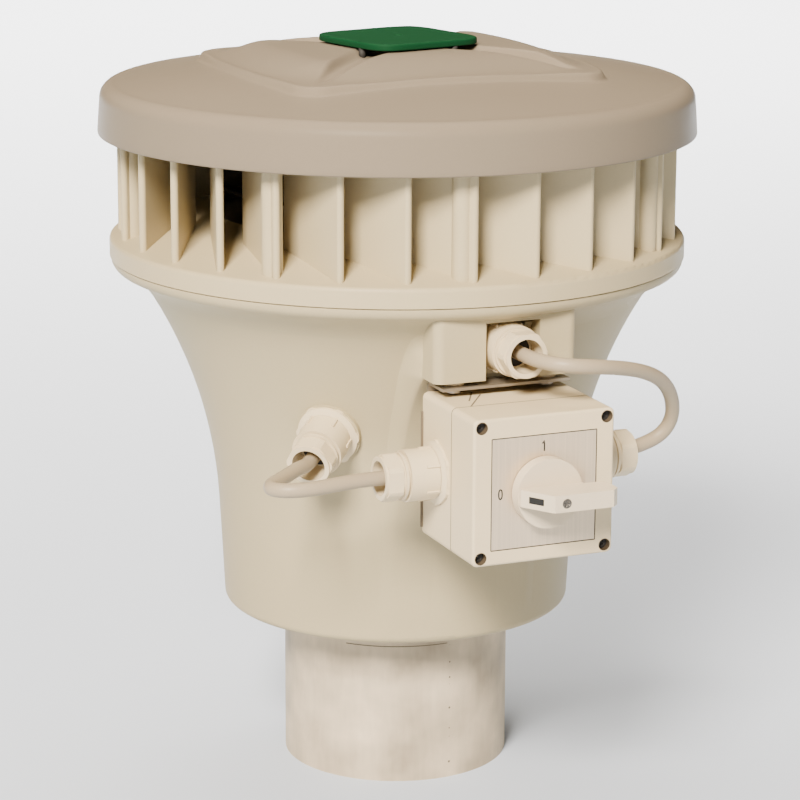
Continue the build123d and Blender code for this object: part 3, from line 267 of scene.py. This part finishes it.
def pad_height(x, y):
    """Top of the hood: a shallow dome, on it a rounded square step that follows the dome and deepens
    outwards, a softly crowned middle, and four leaf-shaped hollows along the diagonals."""
    dome_edge, dome_rise, dome_radius = 385.54, 13.4, 156.0
    half, corner, bowed = 86.5, 13.0, 10.0
    ledge_least, ledge_more, lip = 2.6, 1.6, 0.3
    crown_top, crown_fall = 405.8, 1.2
    leaf_start, leaf_end, leaf_taper, leaf_share, leaf_sink = 20.0, 108.0, 70.0, 0.78, 0.3
    r = np.hypot(x, y)
    dome = dome_edge + dome_rise * (1 - (r / dome_radius) ** 2)
    bow = bowed * np.clip(1 - (y / half) ** 2, 0, 1)
    qx, qy = np.abs(x) - half - bow + corner, np.abs(y) - half + corner
    edge = np.hypot(np.maximum(qx, 0), np.maximum(qy, 0)) + np.minimum(np.maximum(qx, qy), 0) - corner
    ledge = ledge_least + ledge_more * ease(r, 90.0, 116.0)
    step = ledge * (1 - ease(edge, -1.5, 1.3)) + lip * np.exp(-(((edge + 2.4) / 1.1) ** 2))
    crown = crown_top - crown_fall * (r / 80.0) ** 2
    inside = ease(half + bow - np.abs(x), 2.0, 33.0) * ease(half - np.abs(y), 2.0, 44.0)
    rise = np.maximum(crown - dome - ledge, 0) * inside
    along = (np.abs(x) + np.abs(y)) / 2 ** 0.5
    across = np.abs(np.abs(x) - np.abs(y)) / 2 ** 0.5
    width = 1.5 + 9.0 * np.clip((leaf_end - along) / leaf_taper, 0, 1) ** 0.7
    ends = ease(along, leaf_start, leaf_start + 7.0) * ease(leaf_end - along, 0.0, 10.0)
    leaf = (1 - ease(across / width, 0.45, 1.1)) * ends
    return dome + step + rise * (1 - leaf_share * leaf) - leaf_sink * leaf


def hood_shell():
    """The hood as one closed shell: its top as a height over rings and spokes, its rounded shoulder
    and drafted side turned about Z, and an inner face a wall's thickness below."""
    turn = spokes(480)
    centre, shoulder_r, shoulder_z = 0.4, 155.0, 377.3
    shoulder_wide, shoulder_tall, shoulder_end = 8.35, 8.45, radians(79.8)
    rings = np.concatenate([
        np.linspace(centre, 20, 8), np.linspace(21, 128, 96), np.linspace(130, shoulder_r, 14),
    ])
    x, y = rings * np.cos(turn), rings * np.sin(turn)
    bend = np.linspace(0.06, 1, 9) * shoulder_end
    shoulder = joined(shoulder_r + shoulder_wide * np.sin(bend), shoulder_z + shoulder_tall * np.cos(bend))
    side = [(163.35, 377.2), (163.9, 370.0), (164.35, 364.0), (164.62, 359.6)]
    rim = [(164.5, 358.9), (164.0, 358.64), (162.3, 358.64), (161.75, 358.9)]
    inner = [(161.6, 359.6), (160.35, 377.0), (158.2, 380.6), (154.6, 382.6), (120.0, 388.2), (80.0, 391.6),
             (40.0, 393.5), (centre, 394.1)]
    r, z = np.concatenate([shoulder, side, rim, inner]).T
    top = joined(x, y, pad_height(x, y))
    grid = np.concatenate([top, joined(r * np.cos(turn), r * np.sin(turn), z)], axis=1)
    piece = new_piece("hood_shell", grid, turned_faces(grid), hood_finish)
    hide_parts("hood")


def plate_cover():
    """The plate over the pad: a superellipse outline about Z, carried from a small pit in its middle
    over a flat top, round a soft edge, down the side and back under the plate to the middle."""
    half, power, thickness, soft, crease = 35.17, 5.4, 3.7, 1.2, 0.7
    pit_depth, pit_floor, pit_edge = 0.9, 1.3, 2.6
    upper = plate_high[2]
    lower = upper - thickness
    turn = spokes(240)
    lean = turn - radians(12.5)
    reach = half / (np.abs(np.cos(lean)) ** power + np.abs(np.sin(lean)) ** power) ** (1 / power)
    share = np.concatenate([np.linspace(0.01, 0.12, 14), np.linspace(0.16, 0.96, 12)])
    bend = np.linspace(0, pi / 2, 6)
    flat_r = reach * share
    edge_r = reach - soft + soft * np.sin(bend)
    foot_r = reach - crease + crease * np.cos(bend)
    under_r = reach * np.array([0.5, 0.01])
    flat_z = upper - pit_depth * (1 - ease(flat_r, pit_floor, pit_edge))
    edge_z = np.broadcast_to(upper - soft + soft * np.cos(bend), edge_r.shape)
    foot_z = np.broadcast_to(lower + crease - crease * np.sin(bend), foot_r.shape)
    under_z = np.full(under_r.shape, lower)
    r = np.concatenate([flat_r, edge_r, foot_r, under_r], axis=1)
    z = np.concatenate([flat_z, edge_z, foot_z, under_z], axis=1)
    grid = joined(r * np.cos(turn), r * np.sin(turn), z)
    piece = new_piece("plate_cover", grid, turned_faces(grid), green_finish)
    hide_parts("top_plate")


def plate_posts():
    """Four thin posts from the hood's hollows to the plate, black as painted shade in the plate's shadow: a
    circle carried from its foot to its top.
    """
    radius, circle, first_deg, sunk, upper = 1.9, 36.0, 35.5, 1.5, 406.6
    ring = spokes(24)
    for k in range(4):
        place = radians(first_deg + 90 * k)
        x, y = circle * cos(place), circle * sin(place)
        level = np.array([pad_height(x, y) - sunk, upper])
        grid = joined(x + radius * np.cos(ring), y + radius * np.sin(ring), level)
        new_piece(f"plate_post_{k}", grid, turned_faces(grid), rubber_and_shade_finish)


hood_shell()
plate_cover()
plate_posts()

# Casing


def casing_wall(z):
    """radius of the casing at a height: a slight taper below, an arc of the flare above"""
    flare_start, foot_z, foot_radius, taper = 150.0, 92.0, 97.3, 0.0517
    arc_r, arc_z, arc_radius = 359.473, 136.438, 259.531
    return np.where(
        z < flare_start,
        foot_radius + taper * (z - foot_z),
        arc_r - np.sqrt(arc_radius ** 2 - (z - arc_z) ** 2),
    )


def casing_ribs():
    """Two soft upright ribs on the casing below the terminal block, over x and height: the casing's
    own curve pushed forward, steep outside, easing off towards the middle, and swelling into the block."""
    foot, top, near, far, sunk = 96.0, 277.0, 14.0, 50.0, 0.3
    least, more, swell, block_z = 0.8, 1.6, 9.5, 250.0
    z = np.linspace(foot, top, 120)[:, None]
    x = np.linspace(near, far, 60)[None, :]
    push = least + more * ease(z, 115.0, 200.0) + swell * np.exp(-np.abs(z - block_z) / 16.0)
    push = push * ease(z, foot, 112.0) * (1 - ease(z, 258.0, 276.0))
    ridge = (1 - ease(x, 39.0, 48.0)) * np.clip((x - near) / 25.0, 0, 1)
    y = -np.sqrt(casing_wall(z) ** 2 - x ** 2) + sunk - (push + sunk) * ridge
    for name, sign, order in (("casing_rib_left", -1, 1), ("casing_rib_right", 1, -1)):
        grid = joined(sign * x, y, z)
        outward = [face[::order] for face in strip_faces(grid, False)]
        new_piece(name, grid, outward, casing_painted_shade_finish)


casing_ribs()

# Pipe


def pipe_point(turn, z):
    """points just proud of the pipe's wall, at an angle from -Y towards +X and a height"""
    radius = pipe_radius + PROUD
    return joined(radius * np.sin(turn), -radius * np.cos(turn), z)


def pipe_shadow_line():
    """A line of painted shadow round part of the pipe below the casing: a ribbon of a width at one height."""
    level, width, start, end = 79.3, 0.55, radians(-48.0), radians(4.5)
    turn = np.linspace(start, end, 40)[:, None]
    grid = pipe_point(turn, level + np.array([-0.5, 0.5]) * width)
    new_piece("pipe_shadow_line", grid, strip_faces(grid, False), line_and_shade_finish)


def pipe_pits():
    """Small pits down the pipe's side: flat six-sided dots whose size swings about a mean."""
    mean, swing, azimuth = 0.45, 0.25, radians(6.0)
    heights = np.array([9.0, 24.0, 29.0, 41.0, 55.0, 59.0, 68.0, 78.0, 84.0])[:, None]
    around = spokes(6).T
    size = mean + swing * np.cos(np.arange(len(heights)) * 2.3)[:, None]
    grid = pipe_point(azimuth + size * np.cos(around) / pipe_radius, heights + size * np.sin(around))
    faces = np.arange(heights.size * around.size).reshape(heights.size, around.size).tolist()
    new_piece("pipe_pits", grid, faces, line_and_shade_finish)


# Switch


def printed(name, path, width, closed, front):
    """A printed stroke: a ribbon of a width along a path of x, z points, on a plane facing -Y."""
    p = np.array(path, float)
    run = np.roll(p, -1, axis=0) - np.roll(p, 1, axis=0) if closed else np.gradient(p, axis=0)
    run /= np.linalg.norm(run, axis=1)[:, None]
    beside = np.stack([-run[:, 1], run[:, 0]], axis=1) * width / 2
    both = np.stack([p + beside, p - beside], axis=1)
    grid = joined(both[..., 0], -front, both[..., 1])
    new_piece(name, grid, strip_faces(grid, closed), black_finish)


def face_marks():
    """The figures on the face plate: 0 as an upright ring with fuller sides, 1 as a stem with a flag."""
    front, ring_stroke, stem_stroke = face_front + 0.05, 0.75, 0.8
    x, z, half_wide, half_tall, fuller = -24.07, 202.7, 1.05, 2.45, 0.1
    t = spokes(48)[:, 0]
    ring = joined(x + half_wide * np.cos(t) * (1 - fuller * np.cos(2 * t)), z + half_tall * np.sin(t))
    stem = [(-1.2, 227.0), (-0.1, 228.5), (-0.1, 227.0), (-0.1, 223.0)]
    printed("mark_off", ring, ring_stroke, True, front)
    printed("mark_on", stem, stem_stroke, False, front)


def face_outline():
    """The dark line round the face plate: four ribbons from corner to corner of a square."""
    half, width, front = face_high[0] + 0.05, 0.5, cover_front + 0.02
    corner = np.array([(-1, -1), (1, -1), (1, 1), (-1, 1)]) * half + (0, face_z)
    for k, ends in enumerate(zip(corner, np.roll(corner, -1, axis=0))):
        printed(f"face_line_{k}", ends, width, False, front)


def block(name, low, high, material):
    """A plain box between two corners."""
    (a, b, c), (d, e, f) = low, high
    points = [(x, y, z) for x in (a, d) for y in (b, e) for z in (c, f)]
    faces = [[0, 1, 3, 2], [4, 6, 7, 5], [0, 4, 5, 1], [2, 3, 7, 6], [0, 2, 6, 4], [1, 5, 7, 3]]
    new_piece(name, points, faces, material, rounded=False)


def bracket_sheet():
    """The bracket's sheet where it shows: a bridge from block to box, and behind the box a dark strip of
    painted shade at the plate's edge.
    """
    block("bracket_bridge", (-14.0, -148.9, 246.0), (20.4, -136.0, 247.4), sheet_finish)
    # Painted shade: a dark strip standing for the bracket plate's edge in shadow behind the box
    block("bracket_edge_shade", (-40.1, -131.0, 170.0), (-38.6, -130.0, 232.0), line_and_shade_finish)


def box_seam():
    """The dark seam between base and cover: a rounded rectangle about the box drawn out along Y."""
    corner, stand, overlap = 3.0, 0.06, 0.05
    a = spokes(64)
    half_x, half_z = box_half + stand
    x = np.sign(np.cos(a)) * (half_x - corner) + corner * np.cos(a)
    z = np.sign(np.sin(a)) * (half_z - corner) + corner * np.sin(a) + box_z
    y = np.array([base_low[1] + overlap, cover_high[1] - overlap])
    grid = joined(x, y, z)
    new_piece("box_seam", grid, strip_faces(grid, True), line_and_shade_finish)


def box_grooves():
    """The seam's short jog on top of the box: two ribbons of a width between x, y points."""
    width = 0.85
    runs = (((-16.2, -140.5), (-24.7, -156.6)), ((-13.2, -145.1), (-28.4, -167.3)))
    for k, (start, end) in enumerate(np.array(runs)):
        run = (end - start) / np.hypot(*(end - start))
        beside = np.array([-run[1], run[0]]) * width / 2
        x, y = np.stack([start - beside, end - beside, end + beside, start + beside]).T
        grid = joined(x, y, cover_high[2] + PROUD)
        new_piece(f"box_groove_{k}", grid, [[0, 1, 2, 3]], line_and_shade_finish, rounded=False)


def screw_face(name, centre, radius, front, material, body):
    """A round screw head facing -Y: rings and spokes, domed, with a cross slot pressed in."""
    dome, slot_depth, slot_half, slot_reach, slot_turn = 0.25, 0.7, 0.42, 1.6, 0.5
    rings = np.linspace(0.02, 1, 12)
    a = spokes(64)
    r = radius * rings
    u, v = np.abs(r * np.cos(a + slot_turn)), np.abs(r * np.sin(a + slot_turn))
    arm = np.minimum(np.maximum(u / slot_half, v / slot_reach), np.maximum(v / slot_half, u / slot_reach))
    y = -front - dome * (1 - rings ** 2) + slot_depth * (1 - ease(arm, 0.8, 1.2))
    grid = joined(r * np.cos(a) + centre[0], y, r * np.sin(a) + centre[1])
    faces = turned_faces(grid)[:-1]
    new_piece(name, grid, faces, material, body)


def screw_well_shade(name, centre, bore, rim, floor):
    """The well of a cover screw, dark with painted shade: a rim of painted shade on the cover's face and the
    bore's wall behind it, one profile of radius and depth carried round the screw's axis."""
    a = spokes(48)
    radius = np.array([rim, bore, bore])
    y = -np.array([cover_front + PROUD, cover_front + PROUD, floor])
    grid = joined(centre[0] + radius * np.cos(a), y, centre[1] + radius * np.sin(a))
    piece = new_piece(name, grid, strip_faces(grid, True), well_shade_finish)
    piece.data.set_sharp_from_angle(angle=SHARP)


def cover_screws():
    """The four screws at the cover's corners, each at the bottom of its well."""
    inset, head, bore, rim, head_depth, well_depth = 4.4, 2.9, 2.95, 3.25, 3.6, 4.0
    out_x, out_z = box_half - inset
    places = [(x, box_z + z) for x in (-out_x, out_x) for z in (-out_z, out_z)]
    for k, centre in enumerate(places):
        screw_face(f"cover_screw_face_{k}", centre, head, cover_front - head_depth, iron_finish, "base")
        screw_well_shade(f"cover_well_shade_{k}", centre, bore, rim, cover_front - well_depth)


def knob_screw():
    """The screw head in the knob's front, a hair proud of it."""
    head, proud = 2.5, 0.05
    screw_face("knob_screw_face", (0.0, face_z), head, proud - knob_low[1], screw_finish, "knob")


def knob_bar():
    """The black bar on the knob's slanted nose: a flat strip a hair in front of the slope."""
    half_height, proud, bar_from, bar_to = 1.75, 0.06, 0.24, 0.66
    low_end, high_end = np.array([-17.45, -205.0]), np.array([-6.5, knob_low[1]])
    slope = high_end - low_end
    stand = np.array([slope[1], -slope[0]]) / np.hypot(*slope) * proud
    ends = [low_end + slope * k + stand for k in (bar_from, bar_to)]
    points = [(*point, face_z + h) for point in ends for h in (-half_height, half_height)]
    new_piece("knob_bar", points, [[0, 2, 3, 1]], black_finish, "knob", rounded=False)


face_marks()
box_seam()
box_grooves()
face_outline()
bracket_sheet()
cover_screws()
pipe_shadow_line()
pipe_pits()
knob_screw()
knob_bar()

# Floor, light and camera

warm = (1.0, 0.89, 0.76)
white = (1, 1, 1, 1)
pale = 1.6              # glow of the far floor and of the wall behind it


def lamp(name, place, target, size, power, spread=radians(180)):
    """A soft square light that looks at a point, in metres and watts."""
    light = bpy.data.lights.new(name, "AREA")
    light.shape = "SQUARE"
    light.size = size
    light.energy = power
    light.color = warm
    light.spread = spread
    obj = bpy.data.objects.new(name, light)
    bpy.context.scene.collection.objects.link(obj)
    obj.location = place
    obj.rotation_euler = (Vector(target) - Vector(place)).to_track_quat("-Z", "Y").to_euler()


def floor_sweep(near, far, strength):
    """Pale floor that glows with distance from the object, like a lit studio sweep: a smooth step of the
    radius on the floor, from nothing inside near to its full strength beyond far."""
    material = finish("floor", (0.58, 0.65, 0.765), rough=0.9, spec=0.0, vary=0.004, patch=0.004, bump=0.0)
    tree = material.node_tree
    place = add(tree, "TexCoord", "Object", {})
    radius = add(tree, "VectorMath", "Value", {0: place}, "LENGTH")
    ramp = tree.nodes.new("ShaderNodeMapRange")
    ramp.interpolation_type = "SMOOTHSTEP"
    feed(tree, ramp, {"Value": radius, "From Min": near, "From Max": far, "To Max": strength})
    shader = tree.nodes["Principled BSDF"]
    feed(tree, shader, {"Emission Color": white, "Emission Strength": ramp.outputs["Result"]})
    return material


def lay_floor(half):
    """A flat square of floor about the origin, half its side in metres."""
    mesh = bpy.data.meshes.new("floor")
    corner = [(-half, -half, 0), (half, -half, 0), (half, half, 0), (-half, half, 0)]
    mesh.from_pydata(corner, [], [(0, 1, 2, 3)])
    mesh.materials.append(floor_sweep(near=1.6, far=5.0, strength=pale))
    floor = bpy.data.objects.new("floor", mesh)
    bpy.context.scene.collection.objects.link(floor)


lay_floor(half=30.0)
world = bpy.data.worlds.new("studio")
bpy.context.scene.world = world
world.use_nodes = True
sky = world.node_tree
way = add(sky, "TexCoord", "Generated", {})


def glow(direction, gain, base):
    """Sky brightness that grows towards a direction: base plus gain times the cosine where it is positive."""
    facing = add(sky, "VectorMath", "Value", {0: way, 1: Vector(direction).normalized()}, "DOT_PRODUCT")
    front = add(sky, "Math", "Value", {0: facing, 1: 0.0}, "MAXIMUM")
    return add(sky, "Math", "Value", {0: front, 1: gain, 2: base}, "MULTIPLY_ADD")


overhead = glow((0, 0, 1), gain=0.05, base=0.03)
brightness = glow((-0.5, -0.8, 0.3), gain=0.05, base=overhead)
backdrop = sky.nodes["Background"]
feed(sky, backdrop, {"Color": warm + (1,), "Strength": brightness})
# The wall behind the floor is shown pale, and gives no light of its own
wall = add(sky, "Background", "Background", {"Color": white, "Strength": pale})
seen = add(sky, "LightPath", "Is Camera Ray", {})
shown = add(sky, "MixShader", "Shader", {0: seen, 1: backdrop.outputs["Background"], 2: wall})
feed(sky, sky.nodes["World Output"], {"Surface": shown})

lamp("key", (-2.21, -2.83, 2.91), target=(0, 0, 0.2), size=1.3, power=720)
lamp("over", (0.2, 0.6, 3.0), target=(0, 0, 0.3), size=1.6, power=60)
lamp("back", (1.25, 3.0, 3.0), target=(1.25, 3.0, 0), size=4.0, power=330, spread=radians(70))

azimuth, elevation, roll, distance = radians(-22.5), radians(14.01), radians(0.218), 1.6408
aim = Vector((0, 0, 0.20419))
camera_data = bpy.data.cameras.new("camera")
camera_data.lens = 130.85
camera_data.sensor_width = 36
camera_data.shift_x = 0.0046
camera = bpy.data.objects.new("camera", camera_data)
bpy.context.scene.collection.objects.link(camera)
camera.location = aim + distance * Vector(
    (sin(azimuth) * cos(elevation), -cos(azimuth) * cos(elevation), sin(elevation))
)
look = (aim - camera.location).to_track_quat("-Z", "Y").to_matrix().to_4x4()
camera.rotation_euler = (look @ Matrix.Rotation(roll, 4, "Z")).to_euler()
bpy.context.scene.camera = camera

bpy.context.view_layer.update()
